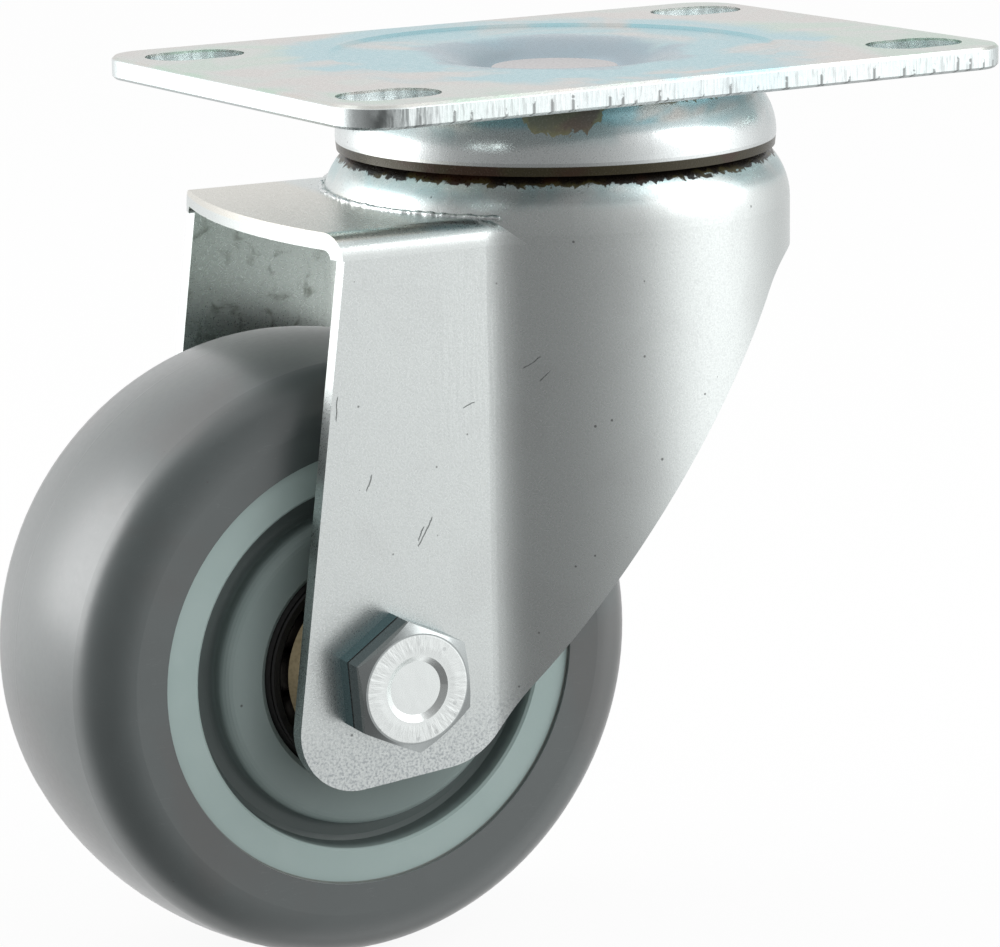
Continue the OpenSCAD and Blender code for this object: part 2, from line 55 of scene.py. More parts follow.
class Place(Enum):
    """Frames that a finish can draw in: the plate's, the turned fork's, or the wheel's with Z along the axle."""

    PLATE = "plate"
    FORK = "fork"
    WHEEL = "wheel"

    def matrix(self) -> Matrix:
        """The way from the part's own frame into this one, for points in millimetres.

        Returns:
            The matrix.
        """
        if self is Place.PLATE:
            return Matrix.Identity(4)
        fork = Matrix.Rotation(math.radians(-FORK_TURN_DEG), 4, "Z")
        if self is Place.FORK:
            return fork
        lift = Matrix.Translation((TRAIL_MM, 0.0, AXLE_DROP_MM))
        return Matrix.Rotation(math.radians(90.0), 4, "X") @ lift @ fork


class Sheet:
    """A short way to write the nodes of one node tree."""

    def __init__(self, tree: bpy.types.NodeTree) -> None:
        """Starts writing in a tree.

        Args:
            tree: the material, world or group tree to write in.
        """
        self.tree = tree

    def node(self, kind: str, **settings: object) -> bpy.types.Node:
        """Adds a node and sets its own options.

        Args:
            kind: the node's class name.
            settings: attributes of the node, such as operation.

        Returns:
            The new node.
        """
        made = self.tree.nodes.new(kind)
        for name, value in settings.items():
            setattr(made, name, value)
        return made

    def feed(self, target: Socket, value: Value) -> None:
        """Links a socket to an input, or writes a constant there.

        Args:
            target: the input socket.
            value: a socket to link, a number or a colour.
        """
        if isinstance(value, bpy.types.NodeSocket):
            self.tree.links.new(value, target)
        elif isinstance(value, tuple) and len(value) == 3 and target.type == "RGBA":
            target.default_value = (*value, 1.0)
        else:
            target.default_value = value

    def math(self, operation: str, *values: Value, clamp: bool = False) -> Socket:
        """One Math node.

        Args:
            operation: the node's operation.
            values: its inputs in order.
            clamp: whether the result is kept from 0 to 1.

        Returns:
            The result's socket.
        """
        made = self.node("ShaderNodeMath", operation=operation, use_clamp=clamp)
        for target, value in zip(made.inputs, values):
            self.feed(target, value)
        return made.outputs[0]

    def times(self, first: Value, *others: Value) -> Socket:
        """The product of two or more numbers.

        Args:
            first: the first number.
            others: the numbers it is multiplied by.

        Returns:
            The product's socket.
        """
        for other in others:
            first = self.math("MULTIPLY", first, other)
        return first

    def scaled(self, value: Socket, factor: Color | float) -> Socket:
        """A vector times a number, or times another vector part by part.

        Args:
            value: the vector.
            factor: the number or the three factors.

        Returns:
            The scaled vector's socket.
        """
        made = self.node("ShaderNodeVectorMath", operation="MULTIPLY")
        self.feed(made.inputs[0], value)
        self.feed(made.inputs[1], factor if isinstance(factor, tuple) else (factor, factor, factor))
        return made.outputs[0]

    def span(self, value: Value, low: float, high: float, start: float = 0.0, end: float = 1.0) -> Socket:
        """Maps a number smoothly from one range to another, kept inside it.

        Args:
            value: the number to map.
            low: value that gives start.
            high: value that gives end.
            start: result at low.
            end: result at high.

        Returns:
            The mapped number's socket.
        """
        made = self.node("ShaderNodeMapRange", interpolation_type="SMOOTHSTEP")
        for name, number in (("From Min", low), ("From Max", high), ("To Min", start), ("To Max", end)):
            made.inputs[name].default_value = number
        self.feed(made.inputs["Value"], value)
        return made.outputs[0]

    def band(self, value: Value, low: float, high: float, soft: float) -> Socket:
        """One inside a range and zero outside it, with soft ends.

        Args:
            value: the number to test.
            low: start of the range.
            high: end of the range.
            soft: width of each soft end.

        Returns:
            The mask's socket.
        """
        return self.times(self.span(value, low - soft, low), self.span(value, high, high + soft, 1.0, 0.0))

    def mix(self, factor: Value, first: Value, second: Value) -> Socket:
        """Mixes two colours.

        Args:
            factor: share of the second colour.
            first: the first colour.
            second: the second colour.

        Returns:
            The mixed colour's socket.
        """
        made = self.node("ShaderNodeMix", data_type="RGBA")
        self.feed(made.inputs[0], factor)
        self.feed(made.inputs[6], first)
        self.feed(made.inputs[7], second)
        return made.outputs[2]

    def parts(self, vector: Socket) -> list[Socket]:
        """The three parts of a vector.

        Args:
            vector: the vector to split.

        Returns:
            The sockets of X, Y and Z.
        """
        made = self.node("ShaderNodeSeparateXYZ")
        self.feed(made.inputs[0], vector)
        return list(made.outputs)

    def chance(self, cells: bpy.types.Node) -> Socket:
        """A number from 0 to 1 for each cell of a Voronoi Texture.

        Args:
            cells: the texture's node.

        Returns:
            The number's socket.
        """
        made = self.node("ShaderNodeSeparateColor")
        self.feed(made.inputs[0], cells.outputs["Color"])
        return made.outputs[0]

    def noise(self, vector: Socket, scale: Value, detail: float = 2.0, distortion: float = 0.0) -> Socket:
        """One Noise Texture.

        Args:
            vector: where it is read.
            scale: its scale.
            detail: its detail.
            distortion: its distortion.

        Returns:
            The noise's factor, about 0.5 on average.
        """
        made = self.node("ShaderNodeTexNoise")
        settings = {"Vector": vector, "Scale": scale, "Detail": detail, "Distortion": distortion}
        for name, value in settings.items():
            self.feed(made.inputs[name], value)
        return made.outputs[0]

    def place(self, group: bpy.types.NodeTree, **values: Value) -> bpy.types.Node:
        """Places a shared effect.

        Args:
            group: the effect's node group.
            values: its inputs by name.

        Returns:
            The group's node.
        """
        made = self.node("ShaderNodeGroup", node_tree=group)
        for name, value in values.items():
            self.feed(made.inputs[name], value)
        return made


class Effects:
    """The effects that more than one finish uses, each built once as a node group."""

    def __init__(self) -> None:
        """Builds the groups."""
        self.polar = self._polar()
        self.specks = self._specks()
        self.scratches = self._scratches()
        self.grain = self._grain()
        self.grease = self._grease()

    def _start(self, name: str, inputs: dict[str, float | None],
               outputs: list[str]) -> tuple[Sheet, bpy.types.Node, bpy.types.Node]:
        """Starts a group.

        Args:
            name: the group's name.
            inputs: each input's default number, or None for a vector.
            outputs: names of the outputs, all single numbers.

        Returns:
            The group's sheet, its input node and its output node.
        """
        tree = bpy.data.node_groups.new(name, "ShaderNodeTree")
        for title, default in inputs.items():
            kind = "NodeSocketVector" if default is None else "NodeSocketFloat"
            made = tree.interface.new_socket(title, in_out="INPUT", socket_type=kind)
            if default is not None:
                made.default_value = default
        for title in outputs:
            tree.interface.new_socket(title, in_out="OUTPUT", socket_type="NodeSocketFloat")
        sheet = Sheet(tree)
        return sheet, sheet.node("NodeGroupInput"), sheet.node("NodeGroupOutput")

    def _polar(self) -> bpy.types.NodeTree:
        """Radius, angle in degrees and height about Z.

        Returns:
            The group, with outputs Radius, Angle and Height.
        """
        sheet, start, end = self._start("polar_place", {"Vector": None}, ["Radius", "Angle", "Height"])
        x, y, z = sheet.parts(start.outputs[0])
        squares = sheet.math("ADD", sheet.times(x, x), sheet.times(y, y))
        sheet.feed(end.inputs["Radius"], sheet.math("SQRT", squares))
        sheet.feed(end.inputs["Angle"], sheet.math("DEGREES", sheet.math("ARCTAN2", y, x)))
        sheet.feed(end.inputs["Height"], z)
        return sheet.tree

    def _specks(self) -> bpy.types.NodeTree:
        """Small separate dots at random places.

        Returns:
            The group, with output Mask: 1 in a dot.
        """
        sheet, start, end = self._start("specks", {"Vector": None, "Scale": 1.0, "Size": 0.1}, ["Mask"])
        cells = sheet.node("ShaderNodeTexVoronoi", feature="F1")
        sheet.feed(cells.inputs["Vector"], start.outputs["Vector"])
        sheet.feed(cells.inputs["Scale"], start.outputs["Scale"])
        radius = sheet.times(start.outputs["Size"], sheet.span(sheet.chance(cells), 0.5, 1.0))
        inside = sheet.math("SUBTRACT", radius, cells.outputs["Distance"])
        sheet.feed(end.inputs["Mask"], sheet.math("MULTIPLY", inside, 30.0, clamp=True))
        return sheet.tree

    def _scratches(self) -> bpy.types.NodeTree:
        """Fine broken lines along the vector's first axis.

        Returns:
            The group, with output Mask: 1 on a line.
        """
        sheet, start, end = self._start("scratches", {"Vector": None, "Width": 0.01}, ["Mask"])
        stretched = sheet.scaled(start.outputs["Vector"], (0.1, 1.3, 1.3))
        off = sheet.math("ABSOLUTE", sheet.math("SUBTRACT", sheet.noise(stretched, 1.0, 3.0), 0.5))
        thin = sheet.math("MULTIPLY", sheet.math("SUBTRACT", start.outputs["Width"], off), 90.0, clamp=True)
        broken = sheet.span(sheet.noise(start.outputs["Vector"], 0.3, 1.0), 0.54, 0.62)
        sheet.feed(end.inputs["Mask"], sheet.times(thin, broken))
        return sheet.tree

    def _grain(self) -> bpy.types.NodeTree:
        """The mottle of plated or moulded surfaces, in two sizes.

        Returns:
            The group, with outputs Fine and Broad, each about 0.5 on average.
        """
        sheet, start, end = self._start("surface_grain", {"Vector": None, "Scale": 1.0}, ["Fine", "Broad"])
        sheet.feed(end.inputs["Fine"], sheet.noise(start.outputs["Vector"], start.outputs["Scale"], 3.0))
        sheet.feed(end.inputs["Broad"], sheet.noise(start.outputs["Vector"], 0.11, 3.0, 0.4))
        return sheet.tree

    def _grease(self) -> bpy.types.NodeTree:
        """Old grease: dark, with orange and yellow-green patches, and strands at its edge.

        Returns:
            The group, with outputs Cover, Orange and Green. Level is how far a point lies inside the smear.
        """
        sheet, start, end = self._start("old_grease", {"Vector": None, "Level": 0.0},
                                        ["Cover", "Orange", "Green"])
        vector = start.outputs["Vector"]
        strand = sheet.noise(sheet.scaled(vector, (1.0, 1.0, 0.6)), 0.7, 5.0, 1.4)
        edge = sheet.math("ADD", start.outputs["Level"], sheet.span(strand, 0.3, 0.7, -0.4, 0.4))
        sheet.feed(end.inputs["Cover"], sheet.span(edge, -0.05, 0.12))
        sheet.feed(end.inputs["Orange"], sheet.span(sheet.noise(vector, 0.13, 2.0), 0.52, 0.62))
        thin = sheet.span(edge, 0.25, 0.9, 1.0, 0.0)
        patches = sheet.span(sheet.noise(vector, 0.25, 2.0), 0.42, 0.55)
        sheet.feed(end.inputs["Green"], sheet.times(thin, patches))
        return sheet.tree


def blank_material(name: str) -> tuple[bpy.types.Material, Sheet]:
    """A material with no nodes.

    Args:
        name: the material's name.

    Returns:
        The material and its sheet.
    """
    material = bpy.data.materials.new(name)
    material.use_nodes = True
    material.node_tree.nodes.clear()
    return material, Sheet(material.node_tree)


def add_object(name: str, data: bpy.types.ID) -> bpy.types.Object:
    """Puts a mesh, lamp or camera in the scene.

    Args:
        name: the object's name.
        data: what the object shows.

    Returns:
        The object.
    """
    made = bpy.data.objects.new(name, data)
    bpy.context.scene.collection.objects.link(made)
    return made


@dataclass(frozen=True)
class Finish:
    """What every finish shares: its name, plain shader settings and the frame it draws in."""

    name: str
    color: Color
    roughness: float = 0.4
    metallic: float = 0.0
    place: Place = Place.PLATE

    def start(self) -> tuple[bpy.types.Material, Sheet, bpy.types.Node, Socket]:
        """Makes the material with its shader.

        Returns:
            The material, its sheet, the Principled shader and the point in millimetres in the finish's frame.
        """
        material, sheet = blank_material(self.name)
        shader = sheet.node("ShaderNodeBsdfPrincipled")
        sheet.feed(shader.inputs["Base Color"], self.color)
        sheet.feed(shader.inputs["Roughness"], self.roughness)
        sheet.feed(shader.inputs["Metallic"], self.metallic)
        output = sheet.node("ShaderNodeOutputMaterial")
        sheet.feed(output.inputs["Surface"], shader.outputs[0])
        point = sheet.scaled(sheet.node("ShaderNodeTexCoord").outputs["Object"], 1.0 / MM)
        if self.place is not Place.PLATE:
            matrix = self.place.matrix()
            turn = sheet.node("ShaderNodeMapping")
            sheet.feed(turn.inputs["Vector"], point)
            turn.inputs["Location"].default_value = matrix.translation
            turn.inputs["Rotation"].default_value = matrix.to_euler("XYZ")
            point = turn.outputs[0]
        return material, sheet, shader, point

    def bump(self, sheet: Sheet, shader: bpy.types.Node, height: Socket, depth_mm: float) -> None:
        """Feeds a height to the shader's normal.

        Args:
            sheet: the material's sheet.
            shader: the Principled shader.
            height: the height's socket.
            depth_mm: the depth that a height of 1 stands for.
        """
        made = sheet.node("ShaderNodeBump")
        made.inputs["Distance"].default_value = depth_mm * MM
        sheet.feed(made.inputs["Height"], height)
        sheet.feed(shader.inputs["Normal"], made.outputs[0])

    def satin(self, sheet: Sheet, shader: bpy.types.Node, grain: bpy.types.Node, spread: float) -> None:
        """Lets the roughness vary with the grain.

        Args:
            sheet: the material's sheet.
            shader: the Principled shader.
            grain: the placed grain effect.
            spread: how far the roughness goes to each side.
        """
        rough = sheet.span(grain.outputs["Fine"], 0.3, 0.7, self.roughness - spread, self.roughness + spread)
        sheet.feed(shader.inputs["Roughness"], rough)


@dataclass(frozen=True)
class PlateZinc(Finish):
    """Zinc on the fixing plate, with pale tints round the pressing, ticks on the sheared edge, a painted highlight
    on its sides and a painted dark reflection where its edge turns at the near left.
    """

    warm: Color = (0.72, 0.66, 0.63)
    green: Color = (0.58, 0.72, 0.62)
    cool: Color = (0.39, 0.67, 0.74)
    bowl: Color = (0.38, 0.50, 0.58)
    grime: Color = (0.3, 0.3, 0.3)
    # Painted highlight on the plate's sides and underside
    edge_highlight: Color = (0.84, 0.91, 0.92)
    tick: Color = (0.2, 0.21, 0.21)
    streak: Color = (0.3, 0.31, 0.31)
    # Painted dark reflection on the edge where it turns at the near left
    corner_dark_reflection: Color = (0.2, 0.22, 0.22)
    ring_mm: float = 27.5
    bowl_mm: float = 17.0
    side_mm: tuple[float, float] = (-2.6, -0.42)
    side_from_y_mm: tuple[float, float] = (29.5, 31.3)
    tick_end_mm: tuple[float, float] = (-2.3, -0.9)

    def build(self, effects: Effects) -> bpy.types.Material:
        """Builds the material.

        Args:
            effects: the shared effects.

        Returns:
            The material.
        """
        material, sheet, shader, point = self.start()
        polar = sheet.place(effects.polar, Vector=point)
        grain = sheet.place(effects.grain, Vector=point, Scale=2.2)
        drift = sheet.times(sheet.math("SUBTRACT", grain.outputs["Broad"], 0.5), 14.0)
        radius = sheet.math("ADD", polar.outputs["Radius"], drift)
        cloud = sheet.noise(point, 0.05, 3.0, 1.2)
        near_ring = sheet.times(sheet.band(radius, self.bowl_mm, self.ring_mm + 3.0, 5.0),
                                sheet.span(cloud, 0.3, 0.52))
        inner = sheet.band(radius, -1.0, self.bowl_mm - 2.0, 3.0)
        color = sheet.mix(sheet.span(cloud, 0.4, 0.52, 0.7, 0.0), self.color, self.warm)
        color = sheet.mix(sheet.span(cloud, 0.5, 0.62, 0.0, 0.9), color, self.green)
        color = sheet.mix(sheet.times(near_ring, 0.95), color, self.cool)
        color = sheet.mix(sheet.times(inner, 0.8), color, self.bowl)
        color = sheet.mix(sheet.span(grain.outputs["Fine"], 0.4, 0.7, 0.0, 0.1), color, self.grime)
        # Outside the pressing, the plate's sides and underside are painted lighter: a painted highlight.
        bright = sheet.times(sheet.span(polar.outputs["Height"], -0.2, -0.4),
                             sheet.span(polar.outputs["Radius"], 28.0, 29.0), 0.8)
        color = sheet.mix(bright, color, self.edge_highlight)
        along, across, up = sheet.parts(point)
        edge = sheet.times(sheet.band(polar.outputs["Height"], *self.side_mm, 0.05),
                           sheet.span(sheet.math("ABSOLUTE", across), *self.side_from_y_mm))
        run = sheet.node("ShaderNodeCombineXYZ")
        sheet.feed(run.inputs[0], sheet.math("ADD", along, across))
        sheet.feed(run.inputs[2], sheet.times(up, 0.12))
        streak = sheet.noise(run.outputs[0], 2.4, 3.0)
        cells = sheet.node("ShaderNodeTexVoronoi", feature="F1", voronoi_dimensions="1D")
        sheet.feed(cells.inputs["W"], sheet.math("ADD", along, sheet.times(across, 1.7)))
        cells.inputs["Scale"].default_value = 0.4
        ragged = sheet.span(sheet.noise(point, 2.0, 3.0), 0.3, 0.7, -0.5, 0.5)
        tick_end = sheet.span(sheet.chance(cells), 0.0, 1.0, *self.tick_end_mm)
        low = sheet.math("SUBTRACT", tick_end, polar.outputs["Height"])
        tick = sheet.times(sheet.span(cells.outputs["Distance"], 0.03, 0.13, 1.0, 0.0),
                           sheet.span(sheet.math("ADD", low, ragged), -0.1, 0.3))
        color = sheet.mix(sheet.times(edge, tick, 0.8), color, self.tick)
        color = sheet.mix(sheet.times(edge, sheet.span(streak, 0.52, 0.66, 0.0, 0.35)), color, self.streak)
        # A painted dark reflection on the edge where it turns at the near left, broken by the streaks.
        corner_dark_reflection = sheet.times(edge, sheet.span(along, -34.0, -39.0), sheet.span(across, -20.0, -26.0))
        color = sheet.mix(sheet.times(corner_dark_reflection, sheet.span(streak, 0.4, 0.6, 0.1, 0.7)), color, self.corner_dark_reflection)
        sheet.feed(shader.inputs["Base Color"], color)
        self.satin(sheet, shader, grain, 0.05)
        height = sheet.math("ADD", grain.outputs["Fine"], sheet.times(edge, streak, 3.0))
        self.bump(sheet, shader, height, 0.012)
        return material


@dataclass(frozen=True)
class SheetZinc(Finish):
    """Zinc on pressed sheet, satin with a fine grain, and old grease on it above a height."""

    tint: Color = (0.46, 0.66, 0.68)
    tint_low_mm: float = -15.8
    tint_high_mm: float = -13.5
    tint_share: float = 0.65
    grease_low_mm: float = -12.7
    grease_high_mm: float = -11.9
    grease: Color = (0.014, 0.011, 0.008)
    grease_orange: Color = (0.16, 0.05, 0.015)
    grease_green: Color = (0.30, 0.26, 0.07)
    packed: Color = (0.012, 0.009, 0.007)
    dull: Color = (0.35, 0.37, 0.38)
    haze: Color = (0.5, 0.5, 0.5)
    speck: Color = (0.08, 0.08, 0.08)
    deck: Color = (0.80, 0.77, 0.70)
    # Painted shade on the legs' inner faces, mottled with the pale tone below
    inside_shade: Color = (0.36, 0.39, 0.35)
    inside_pale: Color = (0.78, 0.84, 0.80)
    tip: Color = (0.24, 0.27, 0.30)
    # Painted shade line on the crown's shoulder
    valley_shade: Color = (0.28, 0.28, 0.28)
    nick: Color = (0.12, 0.13, 0.13)
    scuff: Color = (0.25, 0.25, 0.25)
    on_fork: bool = False
    inside_mm: float = 19.7
    # Place along X and Z, angle in degrees and length of each nick
    nicks: tuple[tuple[float, float, float, float], ...] = (
        (-30.0, -51.8, 59.0, 3.4), (-30.6, -51.9, 63.0, 1.4), (-37.1, -45.1, 68.0, 1.6), (-24.0, -37.5, 20.0, 1.2),
        (-41.0, -36.0, 85.0, 2.4), (-16.5, -33.0, 40.0, 1.8), (-15.2, -34.6, 52.0, 1.2))

    def build(self, effects: Effects) -> bpy.types.Material:
        """Builds the material.

        Args:
            effects: the shared effects.

        Returns:
            The material.
        """
        material, sheet, shader, point = self.start()
        polar = sheet.place(effects.polar, Vector=point)
        grain = sheet.place(effects.grain, Vector=point, Scale=4.5)
        high = sheet.span(polar.outputs["Height"], self.tint_low_mm, self.tint_high_mm)
        cloud = sheet.span(sheet.noise(point, 0.09, 3.0, 0.8), 0.42, 0.62)
        color = sheet.mix(sheet.times(high, cloud, self.tint_share), self.color, self.tint)
        color = sheet.mix(sheet.span(grain.outputs["Fine"], 0.42, 0.72, 0.0, 0.16), color, self.dull)
        color = sheet.mix(sheet.span(grain.outputs["Broad"], 0.5, 0.7, 0.0, 0.1), color, self.haze)
        specks = sheet.place(effects.specks, Vector=point, Scale=0.5, Size=0.1)
        color = sheet.mix(sheet.times(specks.outputs[0], 0.7), color, self.speck)
        height = grain.outputs["Fine"]
        if self.on_fork:
            color, height = self.fork_wear(sheet, effects, point, color, height)
        level = sheet.math("MULTIPLY", sheet.math("SUBTRACT", polar.outputs["Height"], self.grease_low_mm),
                           1.0 / (self.grease_high_mm - self.grease_low_mm))
        level = self.limit(sheet, polar, level)
        smear = sheet.place(effects.grease, Vector=point, Level=level)
        dirt = sheet.mix(sheet.times(smear.outputs["Orange"], 0.8), self.grease, self.grease_orange)
        green = sheet.times(smear.outputs["Green"], smear.outputs["Cover"], 0.8)
        dirt = sheet.mix(green, dirt, self.grease_green)
        dirt = sheet.mix(sheet.span(polar.outputs["Height"], -10.0, -10.3, 0.0, 0.75), dirt, self.packed)
        cover = self.cover(sheet, polar, smear)
        sheet.feed(shader.inputs["Base Color"], sheet.mix(cover, color, dirt))
        sheet.feed(shader.inputs["Metallic"], sheet.span(cover, 0.0, 1.0, self.metallic, 0.1))
        self.satin(sheet, shader, grain, 0.04)
        self.bump(sheet, shader, height, 0.007)
        return material

    def fork_wear(self, sheet: Sheet, effects: Effects, point: Socket, color: Socket,
                  height: Socket) -> tuple[Socket, Socket]:
        """Adds what only the fork shows: a warm deck, painted shade on the inside, a painted shade line on the
        crown, drawn lines, nicks and a mottled tip.

        Args:
            sheet: the material's sheet.
            effects: the shared effects.
            point: the point in the fork's frame.
            color: the colour so far.
            height: the bump's height so far.

        Returns:
            The new colour and height.
        """
        along, across, up = sheet.parts(point)
        side = sheet.math("ABSOLUTE", across)
        deck = sheet.times(sheet.band(up, -16.8, -15.6, 0.3), sheet.span(along, -27.0, -29.5))
        color = sheet.mix(sheet.times(deck, 0.8), color, self.deck)
        drift = sheet.span(along, -56.0, -43.0, -0.15, 0.15)
        mottle = sheet.span(sheet.math("ADD", sheet.noise(point, 0.35, 4.0, 0.8), drift), 0.38, 0.62)
        # The legs' inner faces are painted darker as shade, in a mottle with a pale tone.
        inside = sheet.times(sheet.span(side, self.inside_mm, self.inside_mm - 0.1), sheet.span(up, -17.9, -18.2),
                             sheet.span(along, -18.0, -20.0))
        color = sheet.mix(inside, color, sheet.mix(mottle, self.inside_shade, self.inside_pale))
        lines = sheet.noise(sheet.scaled(point, (1.0, 1.0, 0.07)), 1.7, 2.0)
        zone = sheet.times(sheet.band(along, -27.0, -19.0, 2.0), sheet.band(up, -40.0, -24.0, 5.0))
        height = sheet.math("ADD", height, sheet.times(zone, lines, 1.8))
        tip = sheet.times(sheet.span(up, -68.0, -80.0), sheet.span(sheet.noise(point, 3.2, 4.0), 0.4, 0.7))
        color = sheet.mix(sheet.times(tip, 0.6), color, self.tip)
        # A painted shade line across the crown's near shoulder, right of the crease's end.
        valley_shade = sheet.times(sheet.band(up, -14.3, -13.5, 0.7), sheet.span(across, -14.0, -22.0),
                             sheet.span(along, -22.0, -16.0))
        color = sheet.mix(sheet.times(valley_shade, 0.3), color, self.valley_shade)
        near = sheet.span(across, -21.3, -21.5)
        wobble = sheet.span(sheet.noise(point, 0.8, 3.0), 0.3, 0.7, -0.08, 0.08)
        for place_x, place_z, degrees, length in self.nicks:
            turn = sheet.node("ShaderNodeMapping", vector_type="TEXTURE")
            sheet.feed(turn.inputs["Vector"], point)
            turn.inputs["Location"].default_value = (place_x, 0.0, place_z)
            turn.inputs["Rotation"].default_value = (0.0, math.radians(-degrees), 0.0)
            run, _, offset = sheet.parts(turn.outputs[0])
            wave = sheet.math("ADD", offset, wobble)
            stroke = sheet.times(sheet.band(run, -length / 2, length / 2, 0.35),
                                 sheet.band(wave, -0.035, 0.035, 0.07), near)
            color = sheet.mix(sheet.times(stroke, 0.75), color, self.nick)
            height = sheet.math("SUBTRACT", height, sheet.times(stroke, 4.0))
        scuff = sheet.place(effects.scratches, Vector=point, Width=0.004)
        color = sheet.mix(sheet.times(scuff.outputs[0], 0.35), color, self.scuff)
        return color, height

    def limit(self, sheet: Sheet, polar: bpy.types.Node, level: Socket) -> Socket:
        """Keeps the grease to part of the circle. Here it goes all the way round.

        Args:
            sheet: the material's sheet.
            polar: the placed polar effect.
            level: how far a point lies inside the smear by its height.

        Returns:
            The level to use.
        """
        return level

    def cover(self, sheet: Sheet, polar: bpy.types.Node, smear: bpy.types.Node) -> Socket:
        """Where the grease lies on this sheet.

        Args:
            sheet: the material's sheet.
            polar: the placed polar effect.
            smear: the placed grease effect.

        Returns:
            The share of grease.
        """
        return sheet.times(smear.outputs["Cover"], sheet.span(polar.outputs["Radius"], 28.3, 27.6))


@dataclass(frozen=True)
class CupZinc(SheetZinc):
    """Zinc on the cup, with a smear of grease high on its near side and a dark packed lip."""

    smear_deg: tuple[float, float] = (-127.0, -116.0)
    # The solid's lip ends about 1.2 mm lower than the photograph's, so it is painted dark below this height
    lip_mm: float = -10.35

    def limit(self, sheet: Sheet, polar: bpy.types.Node, level: Socket) -> Socket:
        """Keeps the grease to the one smear.

        Args:
            sheet: the material's sheet.
            polar: the placed polar effect.
            level: how far a point lies inside the smear by its height.

        Returns:
            The level to use.
        """
        zone = sheet.band(polar.outputs["Angle"], *self.smear_deg, 9.0)
        return sheet.math("ADD", level, sheet.math("SUBTRACT", sheet.times(zone, 2.2), 2.2))

    def cover(self, sheet: Sheet, polar: bpy.types.Node, smear: bpy.types.Node) -> Socket:
        """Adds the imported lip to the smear.

        Args:
            sheet: the material's sheet.
            polar: the placed polar effect.
            smear: the placed grease effect.

        Returns:
            The share of grease.
        """
        lip = sheet.span(polar.outputs["Height"], self.lip_mm, self.lip_mm - 0.1)
        return sheet.math("MAXIMUM", sheet.times(smear.outputs["Cover"], 0.8), lip)


@dataclass(frozen=True)
class PlainMetal(Finish):
    """Turned or formed metal with only its fine grain."""

    grain_scale: float = 2.5
    dark_share: float = 0.35

    def build(self, effects: Effects) -> bpy.types.Material:
        """Builds the material.

        Args:
            effects: the shared effects.

        Returns:
            The material.
        """
        material, sheet, shader, point = self.start()
        grain = sheet.place(effects.grain, Vector=point, Scale=self.grain_scale)
        dark = tuple(0.5 * part for part in self.color)
        color = sheet.mix(sheet.span(grain.outputs["Fine"], 0.4, 0.72, 0.0, self.dark_share), self.color, dark)
        sheet.feed(shader.inputs["Base Color"], color)
        self.satin(sheet, shader, grain, 0.05)
        self.bump(sheet, shader, grain.outputs["Fine"], 0.02)
        return material


@dataclass(frozen=True)
class HexZinc(Finish):
    """Plated hexagon: flats painted dark as reflections, a groove round them painted as shade, and a bright end
    with radial crinkles.
    """

    # Painted dark reflections on the flats, darker and bluer between the groove and the leg
    flat_dark_reflection: Color = (0.20, 0.25, 0.26)
    foot_dark_reflection: Color = (0.14, 0.24, 0.26)
    chamfer: Color = (0.42, 0.45, 0.45)
    # Painted shade in the groove round the flats
    groove_shade: Color = (0.01, 0.01, 0.01)
    mark: Color = (0.3, 0.32, 0.33)
    groove_mm: float = -23.7
    shank_mm: float = -21.5
    end_mm: float = -26.95
    face_mm: float = 6.5
    dish_mm: float = 4.1

    def build(self, effects: Effects) -> bpy.types.Material:
        """Builds the material.

        Args:
            effects: the shared effects.

        Returns:
            The material.
        """
        material, sheet, shader, point = self.start()
        polar = sheet.place(effects.polar, Vector=point)
        grain = sheet.place(effects.grain, Vector=point, Scale=2.0)
        high = polar.outputs["Height"]
        end = sheet.times(sheet.span(high, self.end_mm + 0.8, self.end_mm + 0.6),
                          sheet.span(polar.outputs["Radius"], self.face_mm, self.face_mm - 0.2))
        # The flats are painted dark as reflections, darker and bluer between the groove and the leg.
        color = sheet.mix(sheet.span(high, self.groove_mm - 0.1, self.groove_mm + 0.1), self.flat_dark_reflection, self.foot_dark_reflection)
        color = sheet.mix(sheet.span(high, self.shank_mm, self.shank_mm + 0.5), color, self.chamfer)
        # The groove is a bump with painted shade in it.
        groove = sheet.band(high, self.groove_mm - 0.14, self.groove_mm + 0.14, 0.08)
        color = sheet.mix(sheet.times(groove, 0.95), color, self.groove_shade)
        color = sheet.mix(sheet.span(high, self.end_mm + 1.1, self.end_mm + 0.9), color, self.chamfer)
        color = sheet.mix(end, color, self.color)
        spokes = sheet.node("ShaderNodeVectorMath", operation="NORMALIZE")
        sheet.feed(spokes.inputs[0], sheet.scaled(point, (1.0, 1.0, 0.0)))
        ripple = sheet.node("ShaderNodeVectorMath", operation="ADD")
        sheet.feed(ripple.inputs[0], sheet.scaled(spokes.outputs[0], 9.0))
        sheet.feed(ripple.inputs[1], sheet.scaled(point, 0.5))
        crinkle = sheet.noise(ripple.outputs[0], 1.0, 3.0)
        rim = sheet.times(end, sheet.span(polar.outputs["Radius"], self.dish_mm - 0.2, self.dish_mm + 1.0))
        pits = sheet.place(effects.specks, Vector=point, Scale=0.8, Size=0.3)
        marks = sheet.math("MAXIMUM", pits.outputs[0], sheet.span(crinkle, 0.56, 0.7, 0.0, 0.6))
        color = sheet.mix(sheet.times(rim, marks, 0.3), color, self.mark)
        sheet.feed(shader.inputs["Base Color"], color)
        self.satin(sheet, shader, grain, 0.04)
        height = sheet.math("ADD", sheet.times(rim, crinkle, 2.0), sheet.times(grain.outputs["Broad"], 3.0))
        height = sheet.math("SUBTRACT", height, sheet.times(groove, 9.0))
        self.bump(sheet, shader, height, 0.02)
        return material


